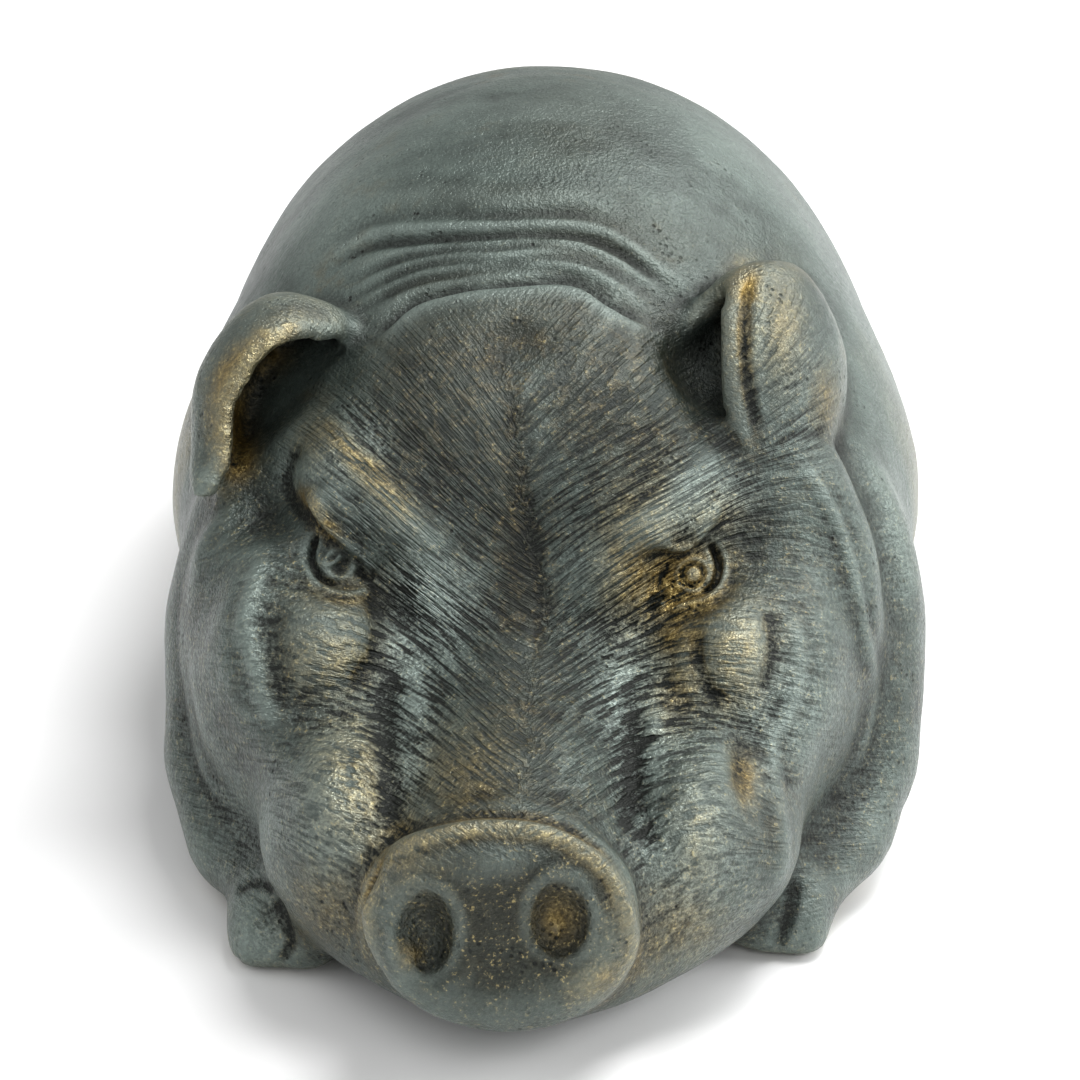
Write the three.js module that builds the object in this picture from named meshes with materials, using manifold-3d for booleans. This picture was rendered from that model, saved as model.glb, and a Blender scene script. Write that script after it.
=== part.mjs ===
import * as THREE from 'three';
import { mergeVertices } from 'three/addons/utils/BufferGeometryUtils.js';
import Module from 'manifold-3d';

// Driving sizes in millimetres
const LENGTH = 340; // snout to rump
const WIDTH = 165; // over the shoulders
const HEIGHT = 136; // floor to the top of the back
const EAR_WALL = 5; // thickness of the ear leaves
const FACE_FACET = 5.1; // size of a facet on the head
const RUMP_FACET = 12.5; // size of a facet on the hindquarters
const SETTLING = 8; // rounds of evening out the facets

// The sculptor's grid: every place on the figure is given across, back from the snout and up from
// the floor, in steps of which the whole figure takes this many each way
const GRID = { across: 165, back: 340, up: 136 };
const STEP = LENGTH / GRID.back;

// How far forms run into each other where they meet, in grid steps
const BLEND = {
  barrel: 24,
  head: 12,
  shoulder: 12,
  swelling: 8,
  furrow: 7,
  limb: 5,
  socket: 4,
  crease: 3,
  edge: 2,
};

// Blending of forms

function join(a, b, blend) {
  const near = Math.max(blend - Math.abs(a - b), 0) / blend;
  return Math.min(a, b) - near * near * blend / 4;
}

function carve(a, b, blend) {
  return -join(-a, b, blend);
}

// A rounded lump: an ellipsoid about a centre, tipped about the x axis and then turned about z
function lump(centre, half, tip = 0, turn = 0) {
  const spin = new THREE.Matrix4().makeRotationZ(THREE.MathUtils.degToRad(turn));
  spin.multiply(new THREE.Matrix4().makeRotationX(THREE.MathUtils.degToRad(tip)));
  const e = spin.elements;
  return (x, y, z) => {
    const dx = x - centre[0];
    const dy = y - centre[1];
    const dz = z - centre[2];
    const u = (e[0] * dx + e[1] * dy + e[2] * dz) / half[0];
    const v = (e[4] * dx + e[5] * dy + e[6] * dz) / half[1];
    const w = (e[8] * dx + e[9] * dy + e[10] * dz) / half[2];
    const reach = Math.hypot(u, v, w);
    const slope = Math.hypot(u / half[0], v / half[1], w / half[2]);
    return reach < 1e-6 ? -Math.min(...half) : reach * (reach - 1) / slope;
  };
}

// A roll or cord of clay through stations [x, y, z, radius]
function roll(stations) {
  const spans = stations.slice(1).map((end, i) => {
    const start = stations[i];
    const d = end.map((value, k) => value - start[k]);
    return { start, d, square: d[0] * d[0] + d[1] * d[1] + d[2] * d[2] };
  });
  return (x, y, z) => {
    let best = Infinity;
    for (const { start, d, square } of spans) {
      const dx = x - start[0];
      const dy = y - start[1];
      const dz = z - start[2];
      const t = Math.min(1, Math.max(0, (dx * d[0] + dy * d[1] + dz * d[2]) / square));
      const gap = Math.hypot(dx - t * d[0], dy - t * d[1], dz - t * d[2]) - start[3] - t * d[3];
      best = Math.min(best, gap);
    }
    return best;
  };
}

function joined(forms, blend) {
  return (x, y, z) => {
    let d = forms[0](x, y, z);
    for (let n = 1; n < forms.length; n += 1) {
      d = join(d, forms[n](x, y, z), blend);
    }
    return d;
  };
}

// Trunk: chest, barrel and rump of a resting pig
const RUMP = { centre: [0, 260, 44], half: [67, 78, 64] };

function trunk() {
  return joined([
    lump([1, 148, 54], [81, 62, 58]),
    lump([2, 197, 53], [77, 100, 81]),
    lump(RUMP.centre, RUMP.half),
    lump([2, 172, 98], [44, 34, 30]),
  ], BLEND.barrel);
}

// Forelegs folded under the head: shoulder, elbow on the floor and forearm forward to the hoof
const ARMS = [
  {
    shoulder: [-54, 112, 46],
    arm: [[-62, 112, 38, 14], [-61, 93, 21, 17.5], [-58, 76, 13, 15], [-52, 58, 11, 9]],
    toes: [[-56, 53, 5], [-46, 51, 5]],
  },
  {
    shoulder: [57, 112, 46],
    arm: [[64, 112, 38, 13], [63, 94, 20, 16], [60, 76, 13, 12.5], [52, 60, 11, 9]],
    toes: [[52, 58, 5], [43, 59, 5]],
  },
];

function foreleg({ shoulder, arm, toes }) {
  const upper = joined([lump(shoulder, [23, 34, 38]), roll(arm)], BLEND.shoulder);
  const hoof = joined(toes.map((toe) => lump(toe, [6.6, 13.5, 12])), BLEND.edge);
  return (x, y, z) => join(upper(x, y, z), hoof(x, y, z), BLEND.crease);
}

// Hind legs folded along the belly
function hindleg(side) {
  const thigh = lump([side * 50, 258, 34], [28, 48, 38]);
  const shank = roll([[side * 62, 236, 16, 14], [side * 66, 206, 9, 9], [side * 66, 196, 8, 8]]);
  const toes = [-1, 1].map((toe) => lump([side * (66 + toe * 4.5), 188, 5], [5.6, 12, 9]));
  const upper = joined([thigh, shank], BLEND.shoulder);
  const hoof = joined(toes, BLEND.edge);
  return (x, y, z) => join(upper(x, y, z), hoof(x, y, z), BLEND.crease);
}

// Head: skull, forehead, muzzle, jaw, cheeks and jowls
function head() {
  return joined([
    lump([-2, 122, 66], [50, 40, 49]),
    lump([-3, 106, 74], [44, 24, 30], -20),
    roll([[-4, 98, 42, 30], [-5.5, 50, 37, 22], [-6.5, 16, 33, 20.5]]),
    lump([-5, 36, 30], [33, 24, 21]),
    lump([-3.5, 56, 16], [44, 46, 17]),
    lump([-29, 60, 30], [23, 36, 21], 0, -24),
    lump([22.5, 60, 30], [26, 38, 22], 0, 26),
    lump([-46, 92, 40], [26, 36, 33]),
    lump([41, 92, 40], [26, 36, 33]),
  ], BLEND.head);
}

// Swellings of the face, the pig's right and left: brows, bags under the eyes, folds of the cheeks
const SWELLINGS = [
  roll([[-48, 106, 83, 7], [-41, 96, 82, 9], [-28, 85, 76, 9], [-14, 79, 67, 7]]),
  roll([[39, 100, 82, 7], [31, 93, 81, 9], [20, 84, 75, 9], [8, 79, 68, 7]]),
  lump([-41, 68, 56], [11, 11, 12]),
  lump([37, 67, 55], [10.5, 11, 12]),
  roll([[-55, 88, 69, 5], [-57, 73, 58, 6], [-52, 61, 48, 6], [-47, 54, 44, 5]]),
  roll([[51, 88, 69, 5], [53, 76, 59, 6], [50, 64, 48, 6], [46, 55, 42, 5]]),
  lump([-36, 39, 41], [12, 17, 11]),
  lump([27, 37, 39], [12, 17, 11]),
  lump([50, 104, 76], [15, 17, 15]),
];

// Furrows of the face: beside the nose, at the right temple, round the jowls, a dent on the poll and
// the hollow in front of the left ear
const FURROWS = [
  roll([[-30, 56, 61.5, 4], [-28.5, 42, 55.5, 5.5], [-27, 27, 49, 4.5]]),
  roll([[18.5, 56, 61, 4], [18.5, 42, 54.5, 5.5], [19, 28, 47, 4.5]]),
  lump([-57, 94, 81], [8, 10, 10]),
  roll([[-67, 105, 86, 3], [-77, 102, 66, 5], [-79, 92, 46, 5], [-73, 74, 28, 5], [-62, 60, 18, 3]]),
  roll([[60, 112, 88, 3], [71, 102, 73, 5], [76, 90, 50, 5], [69, 75, 28, 5], [58, 60, 18, 3]]),
  lump([-5.5, 96, 118], [13, 10, 10]),
  lump([34, 112, 103], [8, 11, 11]),
];

// Eye sockets, and the snout: a thick disc, tipped a little back, with a raised rim
const SOCKETS = [[-39.5, 74, 75], [30, 74, 73]].map((centre) => lump(centre, [10, 9, 7]));
const SNOUT = joined([-10.5, -2.5].map((x) => lump([x, 8, 33.5], [22.5, 8, 21], -8)), BLEND.socket);
const DISH = lump([-6.5, -4.5, 33.5], [23, 8, 18], -8);

function face() {
  const mass = head();
  return (x, y, z) => {
    let d = mass(x, y, z);
    for (const form of SWELLINGS) {
      d = join(d, form(x, y, z), BLEND.swelling);
    }
    for (const form of FURROWS) {
      d = carve(d, form(x, y, z), BLEND.furrow);
    }
    for (const form of SOCKETS) {
      d = carve(d, form(x, y, z), BLEND.socket);
    }
    d = join(d, SNOUT(x, y, z), BLEND.socket);
    return carve(d, DISH(x, y, z), BLEND.edge);
  };
}

// The whole figure without its ears as one distance, below nought inside the bronze
function figure() {
  const body = trunk();
  const limbs = [...ARMS.map(foreleg), hindleg(-1), hindleg(1)];
  const front = face();
  return (x, y, z) => {
    let d = body(x, y, z);
    for (const limb of limbs) {
      d = join(d, limb(x, y, z), BLEND.limb);
    }
    for (const form of FURROWS) {
      d = carve(d, form(x, y, z), BLEND.furrow);
    }
    return join(d, front(x, y, z), BLEND.crease);
  };
}

// A grid that is fine at the face and widens towards the rump, as a fan does

function stations(first, last, facet) {
  const list = [first];
  while (list[list.length - 1] < last) {
    const y = list[list.length - 1];
    list.push(y + facet(y));
  }
  return list;
}

function facetAt(y) {
  const share = THREE.MathUtils.smoothstep(y, 100, 190);
  return (FACE_FACET + (RUMP_FACET - FACE_FACET) * share) / STEP;
}

// Where two inside corners of a grid square face each other across two outside ones, the facets would
// meet four at an edge, so the corner nearest the surface changes sides
function untangle(value, size, rows, index) {
  const steps = [[1, 0, 0], [0, 1, 0], [0, 0, 1]];
  let found = true;
  while (found) {
    found = false;
    for (let j = 0; j + 1 < rows; j += 1) {
      for (let k = 0; k + 1 < size; k += 1) {
        for (let i = 0; i + 1 < size; i += 1) {
          for (let axis = 0; axis < 3; axis += 1) {
            const u = steps[(axis + 1) % 3];
            const v = steps[(axis + 2) % 3];
            const square = [[0, 0], [1, 0], [1, 1], [0, 1]].map(([a, b]) => index(
              i + a * u[0] + b * v[0],
              j + a * u[1] + b * v[1],
              k + a * u[2] + b * v[2],
            ));
            const inside = square.map((n) => value[n] < 0);
            if (inside[0] === inside[2] && inside[1] === inside[3] && inside[0] !== inside[1]) {
              const weakest = square.reduce((a, b) => (Math.abs(value[a]) < Math.abs(value[b]) ? a : b));
              value[weakest] *= -0.1;
              found = true;
            }
          }
        }
      }
    }
  }
}

// Skin of a form: one point in each cell of the grid that the surface crosses, and one four-sided
// facet about each grid edge that it crosses
function skin(form) {
  const ys = stations(-8, GRID.back + 12, facetAt);
  const half = Math.ceil(GRID.across * 0.56 / facetAt(0));
  const size = 2 * half + 1;
  const centre = [0, 0, 58];
  const place = (i, j, k) => {
    const facet = facetAt(ys[j]);
    return [centre[0] + (i - half) * facet, ys[j], centre[2] + (k - half) * facet];
  };
  const index = (i, j, k) => (j * size + k) * size + i;
  const value = new Float64Array(size * size * ys.length);
  for (let j = 0; j < ys.length; j += 1) {
    for (let k = 0; k < size; k += 1) {
      for (let i = 0; i < size; i += 1) {
        value[index(i, j, k)] = form(...place(i, j, k));
      }
    }
  }
  untangle(value, size, ys.length, index);
  const corners = [];
  for (let n = 0; n < 8; n += 1) {
    corners.push([n & 1, (n >> 1) & 1, n >> 2]);
  }
  const points = [];
  const cell = new Map();
  for (let j = 0; j + 1 < ys.length; j += 1) {
    for (let k = 0; k + 1 < size; k += 1) {
      for (let i = 0; i + 1 < size; i += 1) {
        const d = corners.map(([a, b, c]) => value[index(i + a, j + b, k + c)]);
        const inside = d.filter((one) => one < 0).length;
        if (inside === 0 || inside === 8) {
          continue;
        }
        const sum = [0, 0, 0];
        let count = 0;
        for (let m = 0; m < 8; m += 1) {
          for (const bit of [1, 2, 4]) {
            const n = m | bit;
            if (n === m || (d[m] < 0) === (d[n] < 0)) {
              continue;
            }
            const t = d[m] / (d[m] - d[n]);
            const p = place(i + corners[m][0], j + corners[m][1], k + corners[m][2]);
            const q = place(i + corners[n][0], j + corners[n][1], k + corners[n][2]);
            sum.forEach((_, axis) => { sum[axis] += p[axis] + t * (q[axis] - p[axis]); });
            count += 1;
          }
        }
        cell.set(index(i, j, k), points.length);
        points.push(sum.map((one) => one / count));
      }
    }
  }
  const quads = [];
  const steps = [[1, 0, 0], [0, 1, 0], [0, 0, 1]];
  for (let j = 1; j + 1 < ys.length; j += 1) {
    for (let k = 1; k + 1 < size; k += 1) {
      for (let i = 1; i + 1 < size; i += 1) {
        steps.forEach((step, axis) => {
          const near = value[index(i, j, k)];
          const far = value[index(i + step[0], j + step[1], k + step[2])];
          if ((near < 0) === (far < 0)) {
            return;
          }
          const u = steps[(axis + 1) % 3];
          const v = steps[(axis + 2) % 3];
          const ring = [[0, 0], [1, 0], [1, 1], [0, 1]].map(([a, b]) => cell.get(index(
            i - a * u[0] - b * v[0],
            j - a * u[1] - b * v[1],
            k - a * u[2] - b * v[2],
          )));
          quads.push(near < 0 ? ring : ring.reverse());
        });
      }
    }
  }
  return { points, quads };
}

function slopeOf(form, [x, y, z]) {
  const e = 0.2;
  return [
    (form(x + e, y, z) - form(x - e, y, z)) / (2 * e),
    (form(x, y + e, z) - form(x, y - e, z)) / (2 * e),
    (form(x, y, z + e) - form(x, y, z - e)) / (2 * e),
  ];
}

// Even out the facets: each point slides to the middle of its neighbours and back onto the form
function settle(form, points, quads) {
  const neighbours = points.map(() => new Set());
  for (const quad of quads) {
    quad.forEach((point, n) => {
      neighbours[point].add(quad[(n + 1) % 4]);
      neighbours[point].add(quad[(n + 3) % 4]);
    });
  }
  for (let round = 0; round < SETTLING; round += 1) {
    const moved = points.map((point, n) => {
      const target = [0, 0, 0];
      for (const other of neighbours[n]) {
        target.forEach((_, axis) => { target[axis] += points[other][axis] / neighbours[n].size; });
      }
      const eased = point.map((value, axis) => value + 0.6 * (target[axis] - value));
      for (let pull = 0; pull < 2; pull += 1) {
        const slope = slopeOf(form, eased);
        const square = Math.max(0.1, slope[0] ** 2 + slope[1] ** 2 + slope[2] ** 2);
        const shift = Math.max(-2, Math.min(2, form(...eased))) / square;
        eased.forEach((_, axis) => { eased[axis] -= shift * slope[axis]; });
      }
      return eased;
    });
    moved.forEach((point, n) => { points[n] = point; });
  }
}

// From grid places to millimetres
function toSize([x, y, z]) {
  return [
    x * WIDTH / GRID.across,
    y * LENGTH / GRID.back,
    z * HEIGHT / GRID.up,
  ];
}

function facets(points, quads) {
  const position = points.flatMap(toSize);
  const at = (n) => new THREE.Vector3().fromArray(position, 3 * n);
  const triangles = [];
  for (const [a, b, c, d] of quads) {
    const short = at(a).distanceTo(at(c)) <= at(b).distanceTo(at(d));
    triangles.push(...(short ? [a, b, c, a, c, d] : [a, b, d, b, c, d]));
  }
  return { position, triangles };
}

const wasm = await Module();
wasm.setup();

function solid(position, triangles) {
  return new wasm.Manifold(new wasm.Mesh({
    numProp: 3,
    vertProperties: new Float32Array(position),
    triVerts: new Uint32Array(triangles),
  }));
}

function solidOf(shape) {
  const geometry = shape.clone();
  geometry.deleteAttribute('normal');
  geometry.deleteAttribute('uv');
  const merged = mergeVertices(geometry, 1e-3);
  return solid(merged.getAttribute('position').array, merged.getIndex().array);
}

// The block under the floor that the underside is cut flat with
function floorBlock() {
  return solidOf(new THREE.BoxGeometry(2 * WIDTH, 4 * LENGTH, HEIGHT).translate(0, 0, -HEIGHT / 2));
}

// Eyeballs and nostrils, as solids of half sizes about a centre
const EYES = [[[-39, 84, 69.5], [6.5, 6, 5.5]], [[29.5, 84, 67.5], [6.5, 6, 5.5]]];
const NOSTRILS = [[[-20.5, 1.5, 33.5], [6, 5, 9.6]], [[3.3, 1.5, 35.5], [6.3, 5, 8.6]]];

function bead([centre, half]) {
  const sphere = new THREE.SphereGeometry(1, 12, 7);
  const position = sphere.getAttribute('position');
  for (let n = 0; n < position.count; n += 1) {
    const unit = [position.getX(n), position.getY(n), position.getZ(n)];
    position.setXYZ(n, ...toSize(unit.map((value, axis) => centre[axis] + value * half[axis])));
  }
  return solidOf(sphere);
}

// Tail: a cord that hangs from the top of the rump and curls up on it, through places across and
// up, with the radius of the cord at each
const TAIL = [[3, 98, 6], [9, 87, 5.6], [9, 74, 5.2], [0, 65, 4.8], [-10, 69, 4.4], [-10, 80, 4], [-2, 82, 3.4]];

function tail() {
  const [centre, half] = [RUMP.centre, RUMP.half];
  const bends = TAIL.map(([x, z, radius]) => {
    const off = Math.hypot((x - centre[0]) / half[0], (z - centre[2]) / half[2]);
    const y = centre[1] + half[1] * Math.sqrt(1 - off * off) + radius / 2;
    return new THREE.Vector3().fromArray(toSize([x, y, z]));
  });
  const line = new THREE.CatmullRomCurve3(bends);
  const rings = 16;
  const sides = 6;
  const back = new THREE.Vector3(0, 1, 0);
  const position = [];
  const triangles = [];
  for (let i = 0; i <= rings; i += 1) {
    const at = i / rings * (TAIL.length - 1);
    const before = TAIL[Math.floor(at)];
    const after = TAIL[Math.min(TAIL.length - 1, Math.floor(at) + 1)];
    const radius = THREE.MathUtils.lerp(before[2], after[2], at % 1) * STEP;
    const middle = line.getPoint(i / rings);
    const aside = line.getTangent(i / rings).cross(back).normalize();
    for (let n = 0; n < sides; n += 1) {
      const angle = 2 * Math.PI * n / sides;
      const point = middle.clone().addScaledVector(back, radius * Math.cos(angle));
      position.push(...point.addScaledVector(aside, radius * Math.sin(angle)).toArray());
    }
  }
  for (let i = 0; i < rings; i += 1) {
    for (let n = 0; n < sides; n += 1) {
      const next = (n + 1) % sides;
      const [a, b] = [i * sides + n, i * sides + next];
      triangles.push(a, b, b + sides, a, b + sides, a + sides);
    }
  }
  for (const [end, way] of [[0, -1], [rings, 1]]) {
    const tip = line.getPoint(end / rings);
    tip.addScaledVector(line.getTangent(end / rings), way * TAIL[TAIL.length - 1][2] * STEP);
    const middle = position.length / 3;
    position.push(...tip.toArray());
    for (let n = 0; n < sides; n += 1) {
      const [a, b] = [end * sides + n, end * sides + (n + 1) % sides];
      triangles.push(...(way > 0 ? [a, b, middle] : [b, a, middle]));
    }
  }
  return solid(position, triangles);
}

// Ears: folded leaves, the pig's right one swung out and its left one flopped forward, each over
// lines of points from the top of the ear to its tip
const RIGHT_EAR = [
  [[-40, 118, 104], [-52, 107, 109], [-62, 99, 98], [-62, 94, 88], [-68, 90, 80]],
  [[-40, 123, 107], [-56, 122, 111], [-68, 113, 99], [-69, 104, 88], [-69, 95, 80]],
  [[-36, 125, 98], [-45, 138, 100], [-59, 134, 89], [-62, 121, 81], [-65, 104, 77]],
];
const LEFT_EAR = [
  [[26, 120, 103], [38, 122, 116], [37, 107, 108], [38, 99, 95], [43, 94, 86]],
  [[27, 121, 103], [45, 123, 118], [48, 108, 109], [49, 101, 96], [47, 97, 88]],
  [[27, 124, 102], [52, 133, 114], [61, 124, 103], [61, 116, 92], [56, 105, 86]],
  [[27, 126, 97], [40, 138, 100], [56, 137, 91], [59, 129, 84], [57, 113, 79]],
];

// A leaf of even wall laid over such lines, with rounded edges
function leaf(lines) {
  const rows = 12;
  const columns = 6;
  const curves = lines.map((line) => new THREE.CatmullRomCurve3(
    line.map((point) => new THREE.Vector3().fromArray(toSize(point))),
  ));
  const sheet = [];
  for (let i = 0; i <= rows; i += 1) {
    const across = new THREE.CatmullRomCurve3(curves.map((curve) => curve.getPoint(i / rows)));
    sheet.push(Array.from({ length: columns + 1 }, (_, j) => across.getPoint(j / columns)));
  }
  const along = (i, j) => sheet[Math.min(rows, i + 1)][j].clone().sub(sheet[Math.max(0, i - 1)][j]);
  const over = (i, j) => sheet[i][Math.min(columns, j + 1)].clone().sub(sheet[i][Math.max(0, j - 1)]);
  const position = [];
  const triangles = [];
  const ring = 2 * columns + 4;
  for (let i = 0; i <= rows; i += 1) {
    const section = [];
    const nose = (j, way) => sheet[i][j].clone().addScaledVector(over(i, j).normalize(), way * EAR_WALL / 2);
    const face = (j, way) => {
      const normal = along(i, j).cross(over(i, j)).normalize();
      return sheet[i][j].clone().addScaledVector(normal, way * EAR_WALL / 2);
    };
    section.push(nose(0, -1));
    for (let j = 0; j <= columns; j += 1) {
      section.push(face(j, 1));
    }
    section.push(nose(columns, 1));
    for (let j = columns; j >= 0; j -= 1) {
      section.push(face(j, -1));
    }
    section.forEach((point) => position.push(...point.toArray()));
  }
  for (let i = 0; i < rows; i += 1) {
    for (let n = 0; n < ring; n += 1) {
      const next = (n + 1) % ring;
      const [a, b, c, d] = [i * ring + n, i * ring + next, (i + 1) * ring + next, (i + 1) * ring + n];
      triangles.push(a, c, b, a, d, c);
    }
  }
  for (const [start, way] of [[0, 1], [rows * ring, -1]]) {
    for (let n = 0; n <= columns + 1; n += 1) {
      const [a, b] = [start + n, start + n + 1];
      const [c, d] = [start + (ring - n) % ring, start + (ring - n - 1) % ring];
      const quad = way > 0 ? [[a, b, d], [a, d, c]] : [[a, d, b], [a, c, d]];
      quad.filter((t) => new Set(t).size === 3).forEach((t) => triangles.push(...t));
    }
  }
  return solid(position, triangles);
}

function pig() {
  const form = figure();
  const { points, quads } = skin(form);
  settle(form, points, quads);
  const { position, triangles } = facets(points, quads);
  let whole = solid(position, triangles);
  for (const piece of [leaf(RIGHT_EAR), leaf(LEFT_EAR), tail(), ...EYES.map(bead)]) {
    whole = whole.add(piece);
  }
  for (const piece of [...NOSTRILS.map(bead), floorBlock()]) {
    whole = whole.subtract(piece);
  }
  const cast = whole.getMesh();
  const geometry = new THREE.BufferGeometry();
  const corners = new Float32Array(cast.numVert * 3);
  for (let n = 0; n < cast.numVert; n += 1) {
    for (let axis = 0; axis < 3; axis += 1) {
      corners[3 * n + axis] = cast.vertProperties[n * cast.numProp + axis];
    }
  }
  geometry.setAttribute('position', new THREE.BufferAttribute(corners, 3));
  geometry.setIndex(Array.from(cast.triVerts));
  geometry.computeBoundingBox();
  const { min, max } = geometry.boundingBox;
  geometry.translate(-(min.x + max.x) / 2, -(min.y + max.y) / 2, 0);
  geometry.computeVertexNormals();
  const bronze = new THREE.MeshStandardMaterial({ color: '#5d6863', roughness: 0.55, metalness: 0.6 });
  const mesh = new THREE.Mesh(geometry, bronze);
  mesh.name = 'pig';
  return mesh;
}

const sculpture = new THREE.Group();
sculpture.add(pig());

export default sculpture;
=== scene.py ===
"""A cast bronze pig lying on its folded legs: its worked skin, carved hair, eyes and patina."""
import math

import bpy
import numpy as np
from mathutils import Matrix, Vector
from mathutils.bvhtree import BVHTree


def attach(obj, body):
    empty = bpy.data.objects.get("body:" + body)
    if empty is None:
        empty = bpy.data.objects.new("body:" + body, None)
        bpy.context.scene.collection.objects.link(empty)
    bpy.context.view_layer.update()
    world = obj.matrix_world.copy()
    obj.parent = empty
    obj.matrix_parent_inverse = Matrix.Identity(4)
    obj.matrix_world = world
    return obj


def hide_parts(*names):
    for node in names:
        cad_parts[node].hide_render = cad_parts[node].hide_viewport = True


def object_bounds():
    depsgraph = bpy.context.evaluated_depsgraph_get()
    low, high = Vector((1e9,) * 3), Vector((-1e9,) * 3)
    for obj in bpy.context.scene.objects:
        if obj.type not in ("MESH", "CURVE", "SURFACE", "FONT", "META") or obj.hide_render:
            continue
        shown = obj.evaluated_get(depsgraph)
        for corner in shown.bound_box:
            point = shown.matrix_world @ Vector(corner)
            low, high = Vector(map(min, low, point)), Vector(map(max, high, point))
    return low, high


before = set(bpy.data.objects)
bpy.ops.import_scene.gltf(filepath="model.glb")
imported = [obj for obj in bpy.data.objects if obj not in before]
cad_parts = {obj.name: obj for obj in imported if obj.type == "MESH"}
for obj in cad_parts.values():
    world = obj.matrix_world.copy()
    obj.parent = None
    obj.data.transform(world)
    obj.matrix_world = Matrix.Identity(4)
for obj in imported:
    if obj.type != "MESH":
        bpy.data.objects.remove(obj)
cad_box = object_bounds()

# The casting. The pig is cast in one, hollow, in bronze. Its skin starts as the modelled form,
# evened out as wax is with a warm tool, with the most clay on the head, where the carving goes.
MM = 0.001
SKIN_STEP = 2.2 * MM
HEAD_BACK = -40 * MM
HEAD_FLOOR = 3 * MM
NECK_BACK = -4 * MM
NECK_FLOOR = 96 * MM

bpy.ops.object.select_all(action="DESELECT")
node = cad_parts["pig"]
pig = bpy.data.objects.new("pig_casting", node.data.copy())
bpy.context.collection.objects.link(pig)
pig.data.materials.clear()
pig.select_set(True)
bpy.context.view_layer.objects.active = pig
bpy.ops.mesh.customdata_custom_splitnormals_clear()
bpy.ops.object.mode_set(mode="EDIT")
bpy.ops.mesh.select_all(action="SELECT")
bpy.ops.mesh.remove_doubles(threshold=0.001 * MM)
bpy.ops.mesh.tris_convert_to_quads(
    face_threshold=math.radians(50), shape_threshold=math.radians(60))
bpy.ops.object.mode_set(mode="OBJECT")


def finish_with(kind, **settings):
    modifier = pig.modifiers.new(kind.lower(), kind)
    for name, value in settings.items():
        setattr(modifier, name, value)
    bpy.ops.object.modifier_apply(modifier=modifier.name)


finish_with("SUBSURF", levels=2, render_levels=2)
finish_with("REMESH", mode="VOXEL", voxel_size=SKIN_STEP)
finish_with("SMOOTH", factor=0.5, iterations=3)


def places():
    flat = np.empty(3 * len(pig.data.vertices))
    pig.data.vertices.foreach_get("co", flat)
    return flat.reshape(-1, 3)


def put(points):
    pig.data.vertices.foreach_set("co", points.ravel())
    pig.data.update()


def outward():
    flat = np.empty(3 * len(pig.data.vertices))
    pig.data.vertex_normals.foreach_get("vector", flat)
    return flat.reshape(-1, 3)


def refine(wanted):
    """Halve the faces whose middle is wanted."""
    flat = np.empty(3 * len(pig.data.polygons))
    pig.data.polygons.foreach_get("center", flat)
    chosen = wanted(flat.reshape(-1, 3))
    pig.data.vertices.foreach_set("select", np.zeros(len(pig.data.vertices), bool))
    pig.data.edges.foreach_set("select", np.zeros(len(pig.data.edges), bool))
    pig.data.polygons.foreach_set("select", chosen)
    bpy.ops.object.mode_set(mode="EDIT")
    bpy.ops.mesh.select_mode(type="FACE")
    bpy.ops.mesh.subdivide(number_cuts=1, smoothness=0)
    bpy.ops.object.mode_set(mode="OBJECT")


def on_head_or_neck(at):
    head = (at[:, 1] < HEAD_BACK) & (at[:, 2] > HEAD_FLOOR)
    return head | ((at[:, 1] < NECK_BACK) & (at[:, 2] > NECK_FLOOR))


refine(on_head_or_neck)
finish_with("SMOOTH", factor=0.5, iterations=3)

# The front of the head is laid out as it is seen from the front and above, over the snout. Every
# mark on it is given in a frame of 1080 steps, across and down, and goes onto what is seen there.
FRAME_STEPS = 1080
VIEW_PLACE = np.array([-1.3, -642.3, 334.0]) * MM
VIEW_TILT = math.radians(25)
VIEW_HALF = math.radians(9.9)
VIEW_REACH = FRAME_STEPS / 2 / math.tan(VIEW_HALF)
AHEAD = np.array([0, math.cos(VIEW_TILT), -math.sin(VIEW_TILT)])
ABOVE = np.array([0, math.sin(VIEW_TILT), math.cos(VIEW_TILT)])
MARK = 0.19 * MM  # one step of that frame, at the head


def laid_out(points):
    away = points - VIEW_PLACE
    depth = away @ AHEAD
    across = FRAME_STEPS / 2 + VIEW_REACH * away[:, 0] / depth
    down = FRAME_STEPS / 2 - VIEW_REACH * (away @ ABOVE) / depth
    return across, down


EYE_SPOTS = {"right": (339, 564), "left": (693, 575)}
EYE_REACH = 44
EYE_BACK = -60 * MM


def near_spots(at):
    across, down = laid_out(at)
    near = np.zeros(len(at), bool)
    for spot in EYE_SPOTS.values():
        near |= np.hypot(across - spot[0], down - spot[1]) < EYE_REACH
    return near & (at[:, 1] < EYE_BACK)


refine(near_spots)
finish_with("SMOOTH", factor=0.4, iterations=1)

ends = np.empty(2 * len(pig.data.edges), int)
pig.data.edges.foreach_get("vertices", ends)
ends = ends.reshape(-1, 2)
count = len(pig.data.vertices)
links = np.bincount(ends.ravel(), minlength=count)


def averaged(values, rounds):
    """Each value eased towards those beside it on the skin."""
    values = np.array(values, float)
    columns = values.reshape(count, -1)
    for _ in range(rounds):
        for n in range(columns.shape[1]):
            column = columns[:, n]
            total = np.bincount(ends[:, 0], column[ends[:, 1]], count)
            total += np.bincount(ends[:, 1], column[ends[:, 0]], count)
            columns[:, n] = total / links
    return columns.reshape(values.shape)


SIGHT_SLACK = 1.5 * MM


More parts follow.
